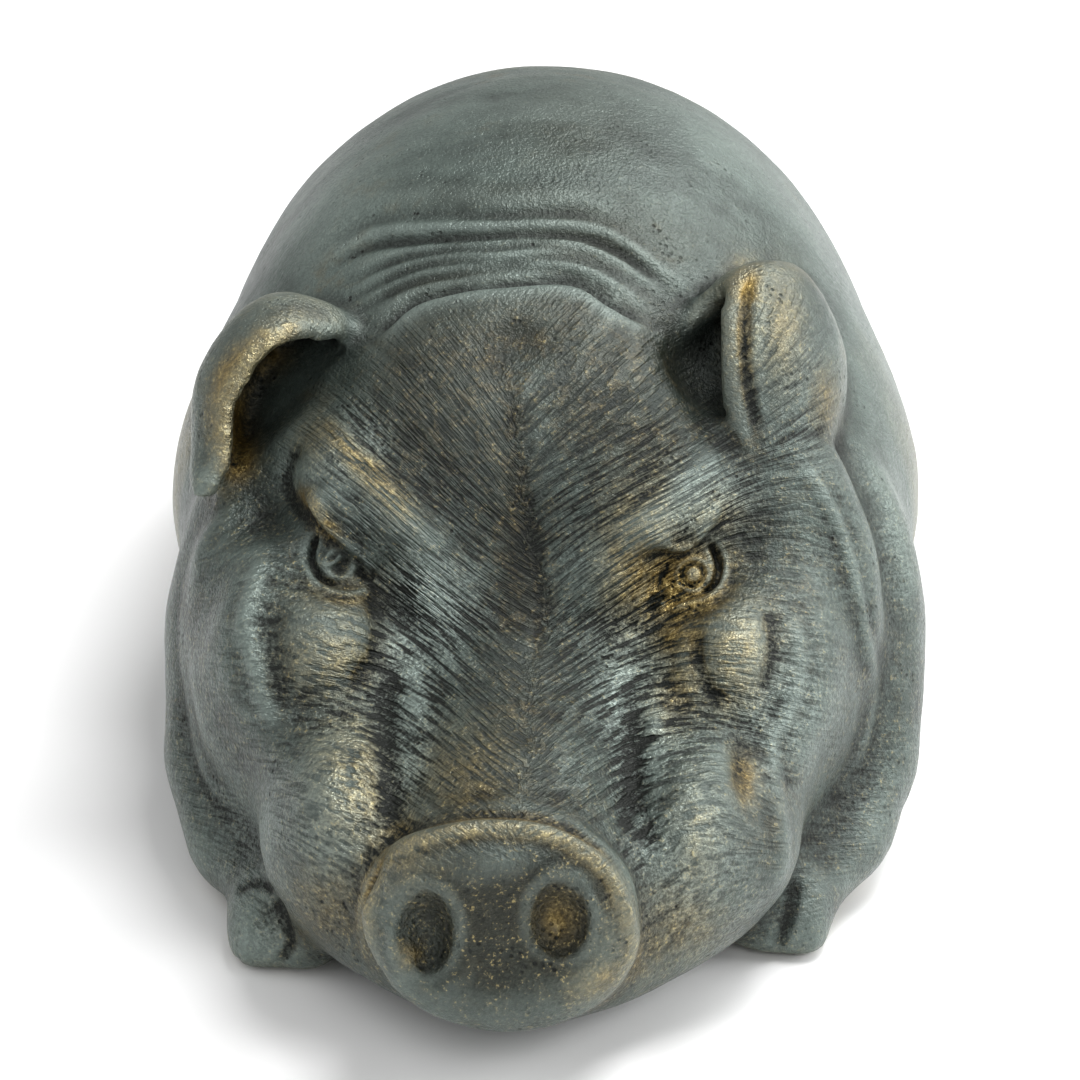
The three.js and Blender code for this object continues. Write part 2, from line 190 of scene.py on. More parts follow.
def sighted(points):
    """Which points of the skin are in sight from the front, from 0 to 1."""
    tree = BVHTree.FromObject(pig, bpy.context.evaluated_depsgraph_get())
    start = Vector(VIEW_PLACE)
    shown = np.zeros(len(points))
    facing = np.einsum("ij,ij->i", points - VIEW_PLACE, outward()) < 0
    for n in np.flatnonzero(facing):
        end = Vector(points[n])
        hit = tree.ray_cast(start, (end - start).normalized())[0]
        shown[n] = hit is not None and (hit - end).length < SIGHT_SLACK
    return averaged(shown, 3)


skin = places()
across, down = laid_out(skin)
shown = sighted(skin)
slope = outward()


def drawn(points, parts=4):
    """A smooth line through a few points."""
    points = np.array(points, float)
    padded = np.vstack([2 * points[0] - points[1], points, 2 * points[-1] - points[-2]])
    line = []
    for a, b, c, d in zip(padded, padded[1:], padded[2:], padded[3:]):
        for t in np.arange(parts) / parts:
            line.append(0.5 * (2 * b + (c - a) * t + (2 * a - 5 * b + 4 * c - d) * t ** 2
                               + (3 * b - a - 3 * c + d) * t ** 3))
    return np.array(line + [points[-1]])


def line_of(points):
    """How far each place is from a drawn line, on which side of it, and how far along it."""
    best = np.full(count, 1e9)
    side = np.zeros(count)
    along = np.zeros(count)
    points = drawn(points)
    lengths = np.hypot(*(points[1:] - points[:-1]).T)
    run = np.concatenate([[0], np.cumsum(lengths)]) / lengths.sum()
    for n, (start, end) in enumerate(zip(points[:-1], points[1:])):
        dx, dy = end - start
        share = ((across - start[0]) * dx + (down - start[1]) * dy) / (dx * dx + dy * dy)
        share = np.clip(share, 0, 1)
        gx = across - start[0] - share * dx
        gy = down - start[1] - share * dy
        gap = np.hypot(gx, gy)
        nearer = gap < best
        best = np.where(nearer, gap, best)
        side = np.where(nearer, np.sign(dx * gy - dy * gx) * gap, side)
        along = np.where(nearer, run[n] + share * lengths[n] / lengths.sum(), along)
    return best, side, along


def tapered(along):
    return np.clip(np.sin(math.pi * np.clip(along, 0.02, 0.98)) * 2.2, 0, 1)


def cord(points, wide, high):
    """A ridge along a line, or a groove where high is below nought."""
    gap, _, along = line_of(points)
    return high * np.exp(-(gap / wide) ** 2) * tapered(along)


def lip(points, wide, high, reach):
    """A fold that stands over a line on its one side and runs out over its reach."""
    gap, side, along = line_of(points)
    rise = 1 / (1 + np.exp(-np.clip(side / wide, -30, 30)))
    out = np.exp(-np.maximum(side, 0) / reach) * np.exp(-(np.minimum(side, 0) / (4 * wide)) ** 2)
    return high * rise * out * tapered(along) * np.exp(-(np.maximum(gap - reach, 0) / reach) ** 2)


def mound(spot, half, high, turn=0):
    """A swelling or hollow about a spot."""
    c, s = math.cos(math.radians(turn)), math.sin(math.radians(turn))
    dx, dy = across - spot[0], down - spot[1]
    u = (c * dx + s * dy) / half[0]
    v = (c * dy - s * dx) / half[1]
    return high * np.exp(-(u * u + v * v))


def spot_ring(spot, radius, wide, high, squash=1):
    """A round ridge or groove about a spot."""
    reach = np.hypot(across - spot[0], (down - spot[1]) / squash)
    return high * np.exp(-((reach - radius) / wide) ** 2)


def cords(rows):
    """Ridges and grooves, each with its half width in steps, its height in mm and its line."""
    return sum(cord(points, wide, high * MM) for wide, high, points in rows)


def mounds(rows):
    """Swellings and hollows: spot, half sizes in steps, height in mm and turn in degrees."""
    return sum(mound(spot, half, high * MM, turn) for spot, half, high, turn in rows)


relief = np.zeros(count)

# Neck. Behind the poll the skin of the neck is pushed into folds, modelled with a round tool.
POLL_EDGE = [
    (372, 345), (412, 310), (460, 295), (505, 289), (555, 286), (585, 292), (612, 310), (655, 330),
]
NECK_GROOVES = [  # depth in mm, half width in steps, line
    (0.7, 9, [(326, 250), (367, 222), (430, 212), (505, 217), (560, 213), (620, 222)]),
    (1.1, 5.5, [(322, 272), (367, 247), (412, 240), (485, 236), (530, 234), (580, 236), (612, 248),
                (642, 267), (680, 296)]),
    (0.6, 4, [(340, 288), (392, 262), (442, 251), (485, 249), (537, 245), (580, 252), (625, 272),
              (662, 305)]),
    (0.6, 4, [(345, 302), (405, 272), (455, 262), (505, 262), (550, 257), (592, 265), (630, 285),
              (652, 305)]),
    (0.6, 4, [(352, 314), (405, 285), (455, 274), (505, 269), (545, 268), (580, 274), (612, 290),
              (640, 310)]),
]
relief += lip(POLL_EDGE, 2.5, 2.2 * MM, 26)
relief += cord([(x, y - 6) for x, y in POLL_EDGE], 7, -2.2 * MM)
for deep, wide, groove in NECK_GROOVES:
    relief += cord(groove, wide, -deep * MM)
    relief += cord([(x, y - 2.2 * wide) for x, y in groove], wide, 0.5 * deep * MM)

# Ears. Each is a thick leaf of the casting with a rim turned over at its edge. The left one's rim
# is a cord of clay with a groove pressed behind it, the right one's is in the form itself.
LEFT_EAR_RIM = [(738, 270), (729, 300), (728, 350), (734, 400), (744, 435), (756, 462)]
LEFT_EAR_RIM_GROOVE = [(x + 17, y) for x, y in LEFT_EAR_RIM[:5]]
RIGHT_EAR_RIM = [
    (302, 313), (287, 332), (255, 355), (235, 372), (225, 400), (227, 435), (230, 460), (217, 485),
    (195, 504),
]
relief += cord(LEFT_EAR_RIM, 7, 0.6 * MM)
relief += cord(LEFT_EAR_RIM_GROOVE, 5, -0.9 * MM)

# Forehead and brows. The brows are heavy rolls of clay that come down to the nose, over deep-set
# eyes, with a shallow dip between them.
CROWN_DIP = [((510, 345), (36, 30), -1.0, 0)]
BROW_LINES = [
    (20, 0.9, [(318, 418), (352, 455), (398, 508), (450, 556)]),  # right brow
    (20, 0.9, [(722, 440), (690, 480), (650, 520), (610, 548)]),  # left brow
    (16, -0.3, [(516, 380), (518, 470), (530, 590)]),  # dip between them
    (4, -0.3, [(524, 500), (536, 545), (541, 620), (536, 660)]),  # crease down its middle
    (7, -0.9, [(300, 440), (286, 475), (292, 500), (318, 532)]),  # crease outside the right brow
]
relief += mounds(CROWN_DIP) + cords(BROW_LINES)

# Eyes. Each is a small ball under the brow, in lids, with a ring cut round its pupil. The right
# one's pupil is a hollow with a bar left standing in it, the left one's a boss in a groove.
RIGHT_BROW_EDGE = [(304, 488), (321, 521), (340, 542), (359, 559), (378, 574)]
RIGHT_EYE_LINES = [
    (3.0, -2.0, [(316, 531), (311, 554), (315, 570), (326, 580), (340, 584)]),  # outer slit
    (4.5, 0.9, [(306, 562), (312, 582), (330, 594), (352, 596), (372, 588)]),  # lower lid
    (2.4, 1.0, [(327, 567), (334, 562), (342, 554)]),  # bar in the pupil
    (4, -1.0, [(356, 570), (364, 575), (374, 579)]),  # inner corner
    (3, -0.8, [(368, 584), (374, 592), (372, 600)]),  # crease under it
]
LEFT_BROW_EDGE = [(726, 503), (704, 532), (689, 548), (676, 551), (655, 545), (640, 552)]
LEFT_EYE_LINES = [
    (3.4, -2.2, [(709, 542), (717, 556), (719, 571), (714, 584), (700, 592)]),  # outer slit
    (4.5, 1.0, [(724, 560), (722, 586), (708, 600), (690, 605), (668, 612)]),  # lower lid
    (4, -1.1, [(668, 592), (656, 602), (650, 614)]),  # inner corner
    (3, -0.6, [(672, 560), (662, 576), (658, 596)]),  # crease beside it
    (3, 0.5, [(662, 588), (660, 598), (664, 610)]),  # fold of the corner
]
relief += lip(RIGHT_BROW_EDGE[::-1], 1.8, 2.4 * MM, 22)
relief += cords(RIGHT_EYE_LINES)
relief += spot_ring(EYE_SPOTS["right"], 14, 2.6, 0.5 * MM)
relief += mound(EYE_SPOTS["right"], (10, 10), -1.3 * MM)
relief += lip(LEFT_BROW_EDGE, 1.8, 2.2 * MM, 22)
relief += cords(LEFT_EYE_LINES)
relief += spot_ring(EYE_SPOTS["left"], 11, 2.2, -0.6 * MM)
relief += spot_ring(EYE_SPOTS["left"], 16, 2.4, 0.35 * MM)
relief += mound(EYE_SPOTS["left"], (7, 7), 0.5 * MM)

# Bags and cheeks. Soft bags of clay hang under the eyes, folds of the cheek run round them, and
# the muzzle swells on both sides of the nose, with three warts on its left.
CHEEK_SWELLINGS = [
    ((325, 640), (34, 44), 1.2, 0),  # right bag
    ((735, 650), (28, 42), 1.1, 14),  # left bag
    ((432, 620), (28, 46), 1.5, 0),  # right side of the nose
    ((632, 655), (25, 60), 1.4, 0),  # left side of the nose
    ((340, 785), (46, 60), 1.0, 0),  # right muzzle
    ((682, 800), (38, 64), 1.0, -8),  # left muzzle
    ((743, 770), (13, 34), -1.4, -8),  # hollow behind it
    ((653, 730), (7, 7), 1.1, 0),  # warts
    ((636, 822), (6, 6), 1.1, 0),
    ((682, 700), (4, 4), 1.1, 0),
]
CHEEK_LINES = [
    (11, -1.0, [(372, 590), (378, 620), (374, 655), (352, 690)]),  # round the right bag
    (14, -0.6, [(282, 600), (272, 640), (284, 690), (320, 716)]),
    (9, 1.0, [(265, 551), (251, 596), (244, 632), (256, 667), (265, 703), (283, 735)]),
    (10, -1.0, [(700, 620), (696, 650), (708, 690), (730, 706)]),  # round the left bag
    (9, -0.9, [(768, 605), (774, 650), (762, 695)]),
    (8, 0.7, [(792, 610), (800, 660), (790, 710), (770, 745)]),
    (6, 0.8, [(229, 505), (205, 540), (192, 580), (186, 640), (196, 720), (212, 780),
              (245, 814)]),  # outer fold of the right cheek
    (6, 0.8, [(795, 450), (832, 510), (852, 570), (866, 640), (872, 680), (862, 743),
              (843, 785)]),  # and of the left one
    (15, -0.6, [(382, 640), (386, 690), (386, 740), (390, 830)]),  # beside the nose, right
    (19, 0.9, [(410, 650), (413, 740), (414, 830)]),
    (14, -0.6, [(632, 670), (631, 720), (634, 770), (630, 840)]),  # beside the nose, left
    (19, 0.9, [(656, 690), (656, 770), (654, 840)]),
    (8, 0.8, [(768, 720), (775, 780), (784, 850), (770, 900)]),  # left jaw
    (2.5, -0.7, [(643, 738), (651, 743), (661, 739)]),  # cut under the upper wart
    (2.2, -1.3, [(678, 692), (683, 700), (688, 708)]),  # cut behind the small wart
]
relief += mounds(CHEEK_SWELLINGS) + cords(CHEEK_LINES)

# Snout. A thick disc with a rolled rim, worn to the metal, and two nostrils, each with a low ring
# round it and a lump left standing inside.
SNOUT_RIM = [
    (377, 968), (366, 938), (366, 905), (376, 872), (400, 848), (440, 834), (483, 827),
    (530, 829), (562, 838), (594, 858), (614, 884), (628, 920), (634, 950), (620, 980),
]
NOSTRIL_SPOTS = {"right": (425, 930), "left": (560, 918)}
NOSTRILS = {"right": ((24, 42), 1.35), "left": ((25, 36), 1.25)}  # half sizes, squash of the ring
NOSTRIL_LUMPS = [((410, 952), (13, 22), 1.2, 10), ((556, 926), (12, 14), 1.4, 0)]
relief += cord(SNOUT_RIM, 7, 1.1 * MM)
relief += cord([(x, y - 13) for x, y in SNOUT_RIM[3:11]], 6, -0.7 * MM)
for side, (half, squash) in NOSTRILS.items():
    relief += mound(NOSTRIL_SPOTS[side], half, -0.9 * MM)
    relief += spot_ring(NOSTRIL_SPOTS[side], 34, 5, 0.6 * MM, squash)
relief += mounds(NOSTRIL_LUMPS)

# Hooves. Each is cleft, with a flat front, cut with a knife in the clay, and the wrist folds
# over it.
HOOF_LINES = [
    (4, -0.8, [(234, 893), (248, 884), (262, 884), (276, 894)]),  # right wrist fold
    (4, -1.0, [(275, 895), (286, 925), (290, 945), (276, 968)]),  # right cleft
    (4.5, -1.1, [(797, 878), (792, 905), (784, 935), (780, 955)]),  # left cleft
]
relief += cords(HOOF_LINES)

# Skin. The marks go onto what is in sight, the hand's slow unevenness goes over all of it, and the
# underside stays flat on the ground.
CARVING_BACK = 20 * MM
SWELLS = 26
SWELL_PITCH = (7, 26)  # mm
SWELL_HEIGHT = 0.16 * MM
SOLE_HEIGHT = 0.5 * MM
SOLE_GAP = 0.05 * MM

relief *= shown
relief[skin[:, 1] > CARVING_BACK] = 0
skin = skin + slope * relief[:, None]


def swells(points):
    """Slow swells of worn clay over the whole skin, from sums of waves of set directions."""
    rng = np.random.default_rng(11)
    total = np.zeros(len(points))
    for _ in range(SWELLS):
        way = rng.normal(size=3)
        way /= np.linalg.norm(way)
        pitch = rng.uniform(*SWELL_PITCH) * MM
        wave = np.sin(points @ way * 2 * math.pi / pitch + rng.uniform(0, 2 * math.pi))
        total += wave * pitch / (SWELL_PITCH[1] * MM)
    return total / SWELLS ** 0.5


skin += slope * (SWELL_HEIGHT * swells(skin))[:, None]
skin[:, 2] = np.where(places()[:, 2] < SOLE_HEIGHT, 0, np.maximum(skin[:, 2], SOLE_GAP))
low, high = (np.array(corner) for corner in cad_box)
skin = np.clip(skin, low, high)
put(skin)
for polygon in pig.data.polygons:
    polygon.use_smooth = True

# Patina. What the eye reads on old bronze is a dark slate-green skin, pale blue-green on what
# stands out, bare gold metal where hands and cloth rub, and near black in the hollows. Painted
# highlights lift the colour where light falls on the poll, shoulder, back, brows, nose sides,
# bags, cheeks, muzzle and a hoof, and pale gold specks are painted glints.
across, down = laid_out(skin)
slope = outward()


def hollows(rounds, reach):
    """How far the skin lies under its surroundings, 1 at the reach and -1 where it stands out."""
    sunk = np.einsum("ij,ij->i", averaged(skin, rounds) - skin, slope)
    return np.clip(averaged(sunk, 1) / reach, -1, 1)


in_nostrils = mound(NOSTRIL_SPOTS["right"], (32, 50), 1.3)
in_nostrils += mound(NOSTRIL_SPOTS["left"], (32, 44), 1.3)
in_nostrils = np.clip(in_nostrils, 0, 1)
fine = hollows(5, 0.22 * MM) * (1 - 0.7 * in_nostrils)
broad = hollows(40, 1.6 * MM) * (1 - 0.8 * in_nostrils)


def tone_strength(marks):
    """Strength of a tone. A mark is a spot, half sizes, turn and strength, or a line, half width
    and strength."""
    total = np.zeros(count)
    for mark in marks:
        if len(mark) == 4:
            spot, half, turn, strength = mark
            total = np.maximum(total, mound(spot, half, strength, turn))
        else:
            points, wide, strength = mark
            total = np.maximum(total, cord(points, wide, strength))
    return total


GOLD = [
    # right ear, its rim and the top of it
    ([(x + 5, y) for x, y in RIGHT_EAR_RIM[1:8]], 17, 1.9),
    ([(300, 322), (275, 345), (250, 372)], 10, 1.3),
    # left ear
    ((745, 288), (16, 22), 0, 1.1),
    ((745, 330), (18, 50), 0, 0.5),
    ((782, 330), (20, 50), 0, 0.5),
    ((826, 400), (14, 30), 0, 0.45),
    # right brow, eye and bag
    ([(318, 418), (345, 448), (378, 482), (416, 528)], 11, 1.0),
    ([(300, 484), (321, 521), (340, 542)], 8, 1.0),
    ((318, 440), (22, 22), 0, 0.4),
    ((340, 600), (40, 24), 0, 0.4),
    ((335, 655), (42, 36), 0, 0.6),
    # left brow, eye and bag
    ((712, 515), (30, 22), 0, 0.5),
    ((655, 540), (24, 60), 0, 0.6),
    ((632, 565), (26, 60), 0, 0.9),
    ((640, 565), (24, 50), 0, 0.75),
    ((676, 588), (46, 50), 0, 1.2),
    ((675, 635), (30, 26), 0, 0.9),
    ((676, 688), (24, 40), 20, 0.6),
    ((733, 655), (28, 44), 14, 1.0),
    # muzzle
    ((352, 785), (34, 60), 0, 0.7),
    ((390, 845), (44, 40), 0, 0.45),
    ((400, 832), (20, 14), 0, 0.8),
    ((465, 770), (40, 40), 0, 0.4),
    ((695, 840), (22, 60), 0, 0.4),
    ((743, 775), (12, 26), -8, 0.8),
    # jaws
    ((330, 900), (40, 50), 40, 0.3),
    ((650, 940), (50, 40), -30, 0.3),
    ((680, 920), (40, 40), 0, 0.4),
    # snout, its rim and nostrils
    (SNOUT_RIM, 9, 1.0),
    ([(594, 858), (614, 884), (628, 920), (634, 950), (620, 985)], 10, 0.7),
    ((600, 980), (30, 16), -30, 0.8),
    ((558, 920), (20, 22), 0, 0.7),
    ((408, 955), (12, 12), 0, 0.6),
]
# Pale blue-green patina on what stands out, and painted highlights where light falls on these
# places
PALE_AND_HIGHLIGHTS = [
    # neck, shoulder and back, painted highlights where light falls
    (POLL_EDGE, 10, 0.4),
    ((330, 200), (46, 80), 30, 0.6),
    ([(620, 90), (700, 115), (780, 190), (840, 280), (885, 400), (905, 560), (905, 640)], 24, 0.6),
    # brows and temple, pale patina and painted highlights
    ((345, 445), (34, 36), 0, 0.9),
    ((299, 471), (24, 24), 0, 0.7),
    ((690, 530), (40, 24), -20, 1.2),
    ((700, 505), (50, 34), -10, 1.2),
    # sides of the nose, painted highlights
    ((428, 612), (32, 50), -8, 1.5),
    ((436, 625), (26, 44), 0, 1.7),
    ((405, 700), (30, 100), 0, 1.3),
    ((640, 670), (36, 120), 0, 1.5),
    # bags and cheeks
    ((330, 610), (34, 34), 0, 0.3),
    ((255, 640), (14, 90), 0, 0.6),
    ((716, 676), (24, 24), 0, 0.8),
    ((735, 640), (20, 40), 14, 0.6),
    ((780, 700), (60, 90), 0, 0.5),
    ((255, 820), (40, 60), 0, 0.5),
    # muzzle
    ((350, 800), (50, 80), 0, 0.8),
    ((685, 870), (50, 70), 0, 0.9),
    # left ear, and a painted highlight on the flat front of the right hoof
    ((790, 360), (40, 60), 0, 0.3),
    ((262, 935), (22, 36), 0, 0.7),
]
OLIVE_MARKS = [
    # back, neck and edge of the poll
    ((570, 130), (70, 44), 0, 0.55),
    ((520, 195), (120, 14), 0, 0.5),
    ((610, 240), (110, 44), 10, 0.6),
    ([(380, 300), (440, 282), (520, 276)], 8, 0.6),
    # ears
    ((298, 314), (36, 16), 0, 1.5),
    ((735, 284), (36, 14), 0, 1.1),
    (LEFT_EAR_RIM[1:], 14, 1.3),
    # forehead and nose
    ((450, 385), (80, 90), 35, 1.2),
    ((430, 385), (60, 60), 0, 1.3),
    ((491, 404), (40, 50), 0, 1.4),
    ((615, 380), (80, 90), -35, 1.2),
    ((545, 325), (130, 50), 0, 0.9),
    ((640, 330), (26, 20), 0, 0.5),
    ([(500, 420), (512, 500), (522, 600), (524, 700), (510, 770)], 30, 1.0),
    ((520, 715), (40, 60), 0, 1.1),
    ((500, 800), (110, 34), 0, 0.7),
    # under the eyes
    ((345, 620), (50, 40), 0, 0.5),
    ((343, 614), (32, 20), 0, 1.2),
    ((700, 600), (60, 60), 0, 0.4),
    # left cheek and jaw
    ((797, 615), (24, 60), 0, 0.5),
    ((770, 790), (30, 60), 0, 0.5),
    ((750, 830), (30, 40), 0, 0.5),
    # snout
    ((500, 920), (140, 100), 0, 0.95),
]

# Hair. It is carved in short strokes that come down from both sides to a parting. Each comb mark
# is a place and the way the strokes run there, in degrees up from level.
PARTING = [(512, 300), (517, 480), (536, 545), (541, 620), (530, 720), (520, 830)]
PARTING_WANDER = [(5, 23), (4, 9)]  # reach and pace of its slow and quick turns
COMB_MARKS = {
    "right": [
        (300, 450, -35), (300, 480, -38), (340, 440, -50), (340, 480, -38), (380, 440, -46),
        (380, 480, -42), (380, 520, -44), (420, 400, -50), (420, 440, -48), (420, 480, -44),
        (420, 520, -47), (460, 360, -48), (460, 400, -58), (460, 440, -53), (460, 480, -48),
        (460, 520, -46), (500, 440, -60), (500, 480, -55), (500, 520, -50), (420, 560, -42),
        (460, 560, -46), (500, 600, -45), (340, 600, -12), (420, 640, -30), (460, 640, -45),
        (420, 680, -30), (380, 680, -8), (340, 640, -10), (420, 720, -38), (460, 720, -44),
        (260, 720, 0), (260, 640, -5), (300, 760, 12), (340, 760, 0), (340, 800, -14),
        (340, 840, -18), (380, 760, -30), (340, 920, -50), (340, 960, -35), (240, 560, 40),
        (220, 480, 50), (290, 880, -50),
    ],
    "left": [
        (540, 360, 54), (580, 360, 56), (620, 360, 51), (540, 400, 64), (580, 400, 50),
        (620, 400, 48), (660, 400, 50), (580, 440, 50), (620, 440, 43), (660, 440, 44),
        (700, 440, 43), (540, 480, 58), (580, 480, 36), (620, 480, 33), (660, 480, 29),
        (540, 520, 46), (580, 520, 31), (620, 520, 26), (660, 520, 20), (700, 520, 24),
        (540, 560, 50), (580, 560, 40), (620, 560, 31), (540, 600, 40), (580, 600, 36),
        (580, 640, 25), (620, 640, 6), (580, 680, 28), (620, 680, 20), (660, 680, 4),
        (700, 680, -8), (540, 720, 46), (580, 720, 31), (620, 720, 22), (600, 780, 40),
        (660, 760, 21), (700, 760, 4), (660, 800, 22), (700, 800, 14), (660, 840, 42),
        (660, 880, 40), (700, 880, 20), (680, 960, 32), (740, 640, -20), (780, 640, -32),
        (740, 680, -22), (740, 720, -16), (780, 520, -20), (820, 520, -50), (780, 560, -15),
        (820, 600, -18), (780, 680, -31), (740, 800, -50), (740, 285, 100), (780, 285, 105),
        (780, 320, 72), (780, 360, 62), (780, 400, 48), (820, 360, 54), (820, 420, 38),
    ],
}
COMB_STEP = 4
COMB_BLEND = 300  # how softly one mark passes into the next, in square steps
STROKE_PACE = (0.7, 1.4)
PACE_ROUNDS = 14
PARTING_WIDTH = 6
PARTING_JUMP = 2.2

turns = []
rows, columns = np.mgrid[0:FRAME_STEPS:COMB_STEP, 0:FRAME_STEPS:COMB_STEP]
for marks in COMB_MARKS.values():
    marks = np.array(marks, float)
    apart = (columns[..., None] - marks[:, 0]) ** 2 + (rows[..., None] - marks[:, 1]) ** 2
    near = 1 / (apart + COMB_BLEND) ** 1.5
    turns.append((near * marks[:, 2]).sum(-1) / near.sum(-1))
parting_x, parting_y = np.array(PARTING, float).T


def parting_at(level):
    """Where the parting runs at a level; it wanders a little, as hair does."""
    wander = sum(reach * np.sin(level / pace) for reach, pace in PARTING_WANDER)
    return np.interp(level, parting_y, parting_x) + wander


right_side = columns < parting_at(rows)
turn = np.radians(np.where(right_side, *turns))
outwards = np.where(right_side, -1, 1)


def risen(way_across, way_down):
    """The value over the frame that rises as nearly as can be as the two slopes say."""
    span = len(way_across)
    way_across = np.hstack([way_across, -way_across[:, ::-1]])
    way_down = np.hstack([way_down, way_down[:, ::-1]])
    way_across = np.fft.fft2(np.vstack([way_across, way_across[::-1]]))
    way_down = np.fft.fft2(np.vstack([way_down, -way_down[::-1]]))
    wave = 2 * math.pi * np.fft.fftfreq(2 * span)
    wave_across, wave_down = wave[None, :], wave[:, None]
    square = wave_across ** 2 + wave_down ** 2
    square[0, 0] = 1
    total = -1j * (wave_across * way_across + wave_down * way_down) / square
    return np.real(np.fft.ifft2(total))[:span, :span]


def fitted(way_across, way_down):
    """A value over the frame that rises in the ways given, faster or slower where it has to."""
    pace = 1.0
    for _ in range(PACE_ROUNDS):
        value = risen(way_across * pace, way_down * pace)
        slope_down, slope_across = np.gradient(value)
        pace = np.clip(slope_across * way_across + slope_down * way_down, *STROKE_PACE)
    return value * COMB_STEP


def read_off(field):
    """The field's value at each place of the skin."""
    x = np.clip(across / COMB_STEP, 0, len(field) - 1.01)
    y = np.clip(down / COMB_STEP, 0, len(field) - 1.01)
    left, top = x.astype(int), y.astype(int)
    x, y = x - left, y - top
    upper = field[top, left] * (1 - x) + field[top, left + 1] * x
    lower = field[top + 1, left] * (1 - x) + field[top + 1, left + 1] * x
    return upper * (1 - y) + lower * y


along_hair = read_off(fitted(outwards * np.cos(turn), -outwards * np.sin(turn)))
over_hair = read_off(fitted(np.sin(turn), np.cos(turn)))
from_parting = across - parting_at(down)
lay = [along_hair * MARK / MM, over_hair * MARK / MM,
       PARTING_JUMP * np.tanh(from_parting / PARTING_WIDTH)]

BARE_SPOTS = [
    ((510, 345), (44, 34), 1),  # crown
    ((505, 930), (150, 110), 1),  # snout
    ((292, 512), (26, 40), 1),  # temple
    ((705, 575), (30, 26), 0.9),  # eyes
    ((340, 562), (34, 26), 0.9),
    ((745, 775), (16, 36), 1),  # behind the left muzzle
]
HAIRY_SPOTS = [
    ((520, 500), (230, 330), 1.6),  # forehead and nose
    ((500, 800), (250, 120), 1),  # muzzle
    ((800, 360), (60, 90), 1),  # left ear
]
GRAINY_SPOTS = [((505, 930), (150, 110), 1), ((330, 560), (60, 60), 0.6)]
HEAD_END = -62  # mm, where the carved hair of the head gives out
SIDE_HAIR_END = -30


def ahead_of(end, fade):
    """1 in front of a place along the body and 0 behind it, both in mm."""
    return 1 / (1 + np.exp(np.clip((skin[:, 1] / MM - end) / fade, -30, 30)))


on_head = ahead_of(HEAD_END, 5)
bare = sum(mound(*spot) for spot in BARE_SPOTS)
bare = np.clip(bare + cord(RIGHT_EAR_RIM, 26, 1.2) + cord(LEFT_EAR_RIM, 9, 1.0), 0, 1)
strong = sum(mound(*spot) for spot in HAIRY_SPOTS)
beside_parting = np.exp(-(from_parting / PARTING_WIDTH) ** 2) * 0.2
away = (skin - VIEW_PLACE) / np.linalg.norm(skin - VIEW_PLACE, axis=1)[:, None]
facing = np.clip((-np.einsum("ij,ij->i", away, slope) - 0.2) / 0.35, 0, 1)
front_hair = on_head * shown * facing * (1 - bare) * (1 - beside_parting)
front_hair *= np.clip(0.12 + 0.88 * strong, 0, 1)
side_hair = (1 - shown) * ahead_of(SIDE_HAIR_END, 8) * 0.7
grainy = np.clip(sum(mound(*spot) for spot in GRAINY_SPOTS), 0, 1) * shown


def keep(name, columns):
    """Store a value for each place on the skin, for the material to read."""
    attribute = pig.data.attributes.new(name, "FLOAT_VECTOR", "POINT")
    attribute.data.foreach_set("vector", np.stack(columns, 1).astype(np.float32).ravel())


keep("lay", lay)
keep("combed", [front_hair, side_hair, on_head])
sight = shown * on_head + averaged(shown, 200) * (1 - on_head)
edges_rubbed = (1 - sight) * np.clip(-1.6 * averaged(fine, 2) - 0.5, 0, 0.6)
keep("patina_and_highlights", [tone_strength(GOLD) * shown + edges_rubbed, tone_strength(PALE_AND_HIGHLIGHTS) * sight, tone_strength(OLIVE_MARKS) * sight])
keep("hollow", [fine, broad, grainy])

patina_and_highlights = bpy.data.materials.new("patinated_bronze")
patina_and_highlights.use_nodes = True
tree = patina_and_highlights.node_tree
tree.nodes.clear()


class Value:
    """One socket of the material, for sums in plain Python."""

    def __init__(self, socket):
        self.socket = socket

    def math(self, operation, other, swapped=False, clamp=False):
        first, second = (other, self) if swapped else (self, other)
        settings = {"operation": operation, "use_clamp": clamp}
        return add("ShaderNodeMath", settings, {0: first, 1: second})(0)

    def __add__(self, other):
        return self.math("ADD", other)

    def __radd__(self, other):
        return self.math("ADD", other, True)

    def __sub__(self, other):
        return self.math("SUBTRACT", other)

    def __rsub__(self, other):
        return self.math("SUBTRACT", other, True)

    def __mul__(self, other):
        return self.math("MULTIPLY", other)

    def __rmul__(self, other):
        return self.math("MULTIPLY", other, True)

    def clamped(self):
        return self.math("ADD", 0.0, clamp=True)

    def stepped(self, low_edge, high_edge):
        made = add("ShaderNodeMapRange", {"interpolation_type": "SMOOTHSTEP"},
                   {"Value": self, "From Min": low_edge, "From Max": high_edge})
        return made(0)


def add(kind, settings=None, sockets=None):
    """A node of the material; calling what comes back gives one of its outputs."""
    made = tree.nodes.new(kind)
    for name, value in (settings or {}).items():
        setattr(made, name, value)
    for name, value in (sockets or {}).items():
        if isinstance(value, Value):
            tree.links.new(value.socket, made.inputs[name])
        else:
            made.inputs[name].default_value = value
    return lambda output: Value(made.outputs[output])


def mixed(share, first, second):
    """A colour between two."""
    return add("ShaderNodeMix", {"data_type": "RGBA"}, {0: share, 6: first, 7: second})(2)


def columns_of(name):
    """The three values kept under a name."""
    vector = add("ShaderNodeAttribute", {"attribute_name": name})("Vector")
    made = add("ShaderNodeSeparateXYZ", None, {0: vector})
    return [made(n) for n in range(3)]


place = add("ShaderNodeTexCoord")("Object")
lay_at = add("ShaderNodeAttribute", {"attribute_name": "lay"})("Vector")


